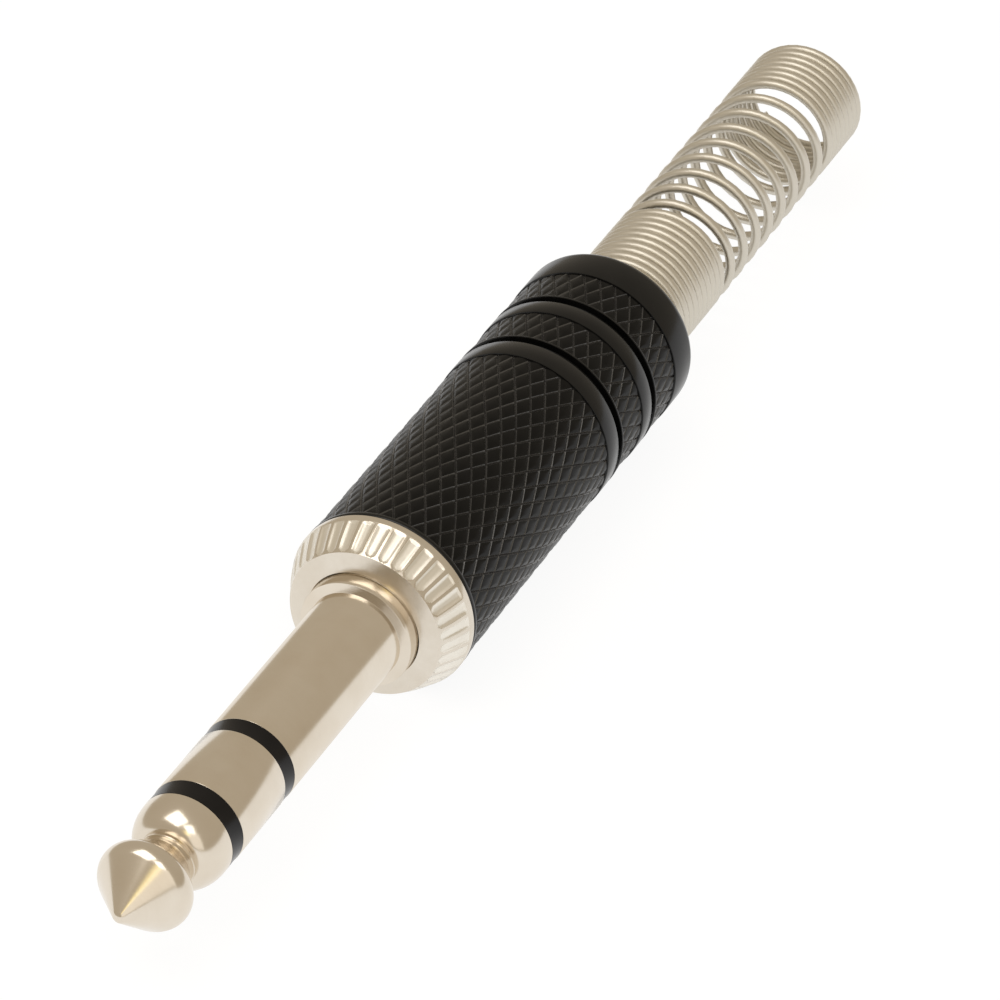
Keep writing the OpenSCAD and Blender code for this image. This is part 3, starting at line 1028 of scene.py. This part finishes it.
@dataclass
class Carried:
    """The CAD nodes that stay as they are, each with its own finish."""

    finishes: tuple[tuple[str, Finish], ...] = (
        ("centre_rod", BRASS), ("rod_tube", TUBE_PLASTIC), ("ring_tube", TUBE_PLASTIC),
        ("ground_clamp", LUG_PLATE), ("ring_lug", LUG_PLATE), ("tip_lug", LUG_PLATE),
        ("ground_washer", BOARD), ("lug_washer", BOARD), ("liner_tube", LINER_PLASTIC))

    def build(self) -> None:
        """Gives each node its material."""
        for name, finish in self.finishes:
            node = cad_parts[name]
            for place in node.material_slots:
                place.material = finish.material()
            LOG.info("%s: %s", name, finish.name)


# The studio


@dataclass(frozen=True)
class Lamp:
    """One soft lamp: its place and side in metres, its power in watts and its colour."""

    name: str
    place: tuple[float, float, float]
    size: float
    power: float
    colour: Colour = (1.0, 1.0, 1.0)


@dataclass
class Studio:
    """Floor, lamps, world and the photograph's camera.

    The floor's height and the camera's anchor, depth and offset are in millimetres. The
    middle, the floor's size and the clip distances are in metres.
    """

    middle: tuple[float, float, float] = (0.02, 0.0, 0.0)
    floor_z: float = -6.42
    floor_size: float = 6.0
    floor_grey: float = 0.86
    floor_glow: float = 1.08
    glow_share: float = 0.85
    focal_px: float = 5450.0
    frame_px: float = 1000.0
    sensor_mm: float = 36.0
    clip: Point = (0.01, 10.0)
    azimuth: float = -64.2
    elevation: float = 35.7
    anchor_x: float = -20.99
    depth: float = 329.9
    offset: Point = (18.32, 19.58)
    sky: Colour = (0.54, 0.478, 0.385)
    lamps: tuple[Lamp, ...] = (
        Lamp("key_softbox", (-0.16, 0.11, 0.60), size=0.43, power=1.15),
        Lamp("front_softbox", (-0.42, -0.19, 0.38), size=0.14, power=0.045,
             colour=(1.0, 0.84, 0.26)),
        Lamp("right_softbox", (-0.27, -0.27, 0.52), size=0.25, power=0.36),
        Lamp("side_card", (-0.465, -0.465, 0.285), size=0.50, power=0.42))

    def camera(self) -> None:
        """Places the camera that was fitted to the photograph's rings."""
        turn, tilt = math.radians(self.azimuth), math.radians(self.elevation)
        right = Vector((math.cos(turn), math.sin(turn), 0.0))
        up = Vector((-math.sin(turn) * math.sin(tilt), math.cos(turn) * math.sin(tilt),
                     math.cos(tilt)))
        back = Vector((math.sin(turn) * math.cos(tilt), -math.cos(turn) * math.cos(tilt),
                       math.sin(tilt)))
        data = bpy.data.cameras.new("photo_camera")
        data.sensor_width = self.sensor_mm
        data.lens = self.focal_px * data.sensor_width / self.frame_px
        data.clip_start, data.clip_end = self.clip
        camera = bpy.data.objects.new("photo_camera", data)
        bpy.context.collection.objects.link(camera)
        camera.location = (Vector((self.anchor_x, 0.0, 0.0)) + self.offset[0] * right
                           + self.offset[1] * up + self.depth * back) * MM
        camera.rotation_mode = "QUATERNION"
        camera.rotation_quaternion = (-back).to_track_quat("-Z", "Y")
        bpy.context.scene.camera = camera

    def light(self, lamp: Lamp) -> None:
        """Adds one soft lamp that looks at the plug.

        Args:
            lamp: the lamp.
        """
        data = bpy.data.lights.new(lamp.name, "AREA")
        data.size, data.energy, data.color = lamp.size, lamp.power, lamp.colour
        made = bpy.data.objects.new(lamp.name, data)
        bpy.context.collection.objects.link(made)
        place = Vector(lamp.place)
        made.location = place
        made.rotation_mode = "QUATERNION"
        made.rotation_quaternion = (Vector(self.middle) - place).to_track_quat("-Z", "Y")

    def floor(self) -> None:
        """Lays the pale floor, which is white to the eye and keeps a soft shadow."""
        floor = primitive("floor", bpy.ops.mesh.primitive_plane_add, size=self.floor_size,
                          location=(self.middle[0], 0.0, self.floor_z * MM))
        made = bpy.data.materials.new("floor_white")
        made.use_nodes = True
        recipe = Recipe(made.node_tree, "ShaderNodeOutputMaterial")
        path = recipe.node("ShaderNodeLightPath", {}, {})
        seen = sum((Field(recipe, path.outputs[name]) for name in
                    ("Is Glossy Ray", "Is Transmission Ray")),
                   Field(recipe, path.outputs["Is Camera Ray"]))
        matt = recipe.node("ShaderNodeBsdfDiffuse", {}, {"Color": (self.floor_grey,) * 3})
        glow = recipe.node("ShaderNodeEmission", {},
                           {"Color": (1.0, 1.0, 1.0), "Strength": self.floor_glow})
        mixed = recipe.node("ShaderNodeMixShader", {},
                            {0: seen.clamp(0.0, 1.0) * self.glow_share, 1: matt.outputs[0],
                             2: glow.outputs[0]})
        recipe.tree.links.new(mixed.outputs[0], recipe.output.inputs[0])
        floor.data.materials.append(made)
        floor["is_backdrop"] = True

    def world(self) -> None:
        """Fills the room with one plain, slightly warm light."""
        world = bpy.data.worlds.new("room")
        world.use_nodes = True
        recipe = Recipe(world.node_tree, "ShaderNodeOutputWorld")
        light = recipe.node("ShaderNodeBackground", {}, {"Color": self.sky, "Strength": 1.0})
        recipe.tree.links.new(light.outputs[0], recipe.output.inputs[0])
        bpy.context.scene.world = world

    def build(self) -> None:
        """Sets up the whole studio."""
        bpy.context.scene.view_settings.view_transform = "Standard"
        self.floor()
        self.world()
        for lamp in self.lamps:
            self.light(lamp)
        self.camera()


def corners() -> list[list[float]]:
    """The shown object's box, as plain numbers in metres."""
    return [[round(v, 6) for v in corner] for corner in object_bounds()]


def main() -> None:
    """Builds the sub-assemblies and the studio in order."""
    logging.basicConfig(level=logging.INFO, format="%(name)s: %(message)s")
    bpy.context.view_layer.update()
    for part in (Studio(), Contacts(), Collar(), Barrel(), Spring(), Carried()):
        LOG.info("building %s", type(part).__name__)
        part.build()


if __name__ == "__main__":
    main()
